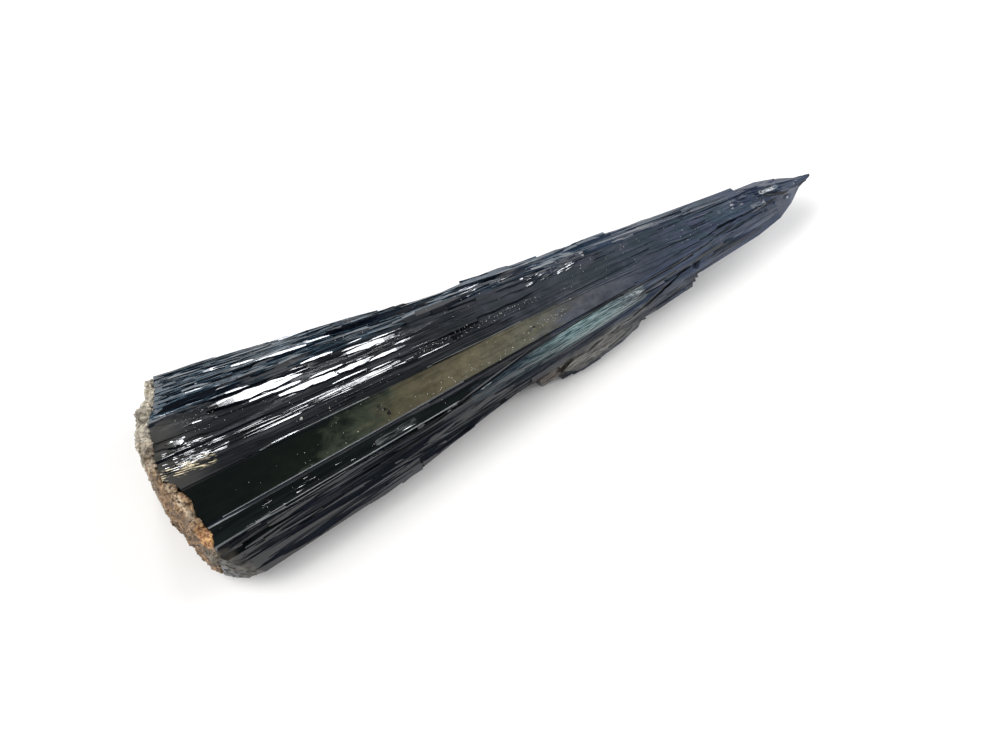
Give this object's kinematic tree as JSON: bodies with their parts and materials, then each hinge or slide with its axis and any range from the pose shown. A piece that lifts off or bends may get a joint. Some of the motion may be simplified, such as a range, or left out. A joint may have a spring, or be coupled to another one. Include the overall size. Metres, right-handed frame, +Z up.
{
  "type": "vivianite crystal blade",
  "caption": "Dark green-black vivianite crystal: a tapering blade of fanned laths, pointed at one end, with a granular crust of rock on its broken root.",
  "frame": {"origin": "on the surface that the blade lies on, under the middle of its box", "axes": "+X along the blade from its broken root to its point, +Y to its stepped back flank, +Z up as it lies"},
  "size_m": [0.0934, 0.0292, 0.0123],
  "materials": {
    "vivianite": "glossy cleavage faces with fine lengthwise striations, nearly black with olive and blue-green tints",
    "matrix": "rough granular rock, grey-green and tan-brown"
  },
  "bodies": {
    "root": {"vivianite_blade": "vivianite", "matrix_crust": "matrix"}
  },
  "joints": []
}
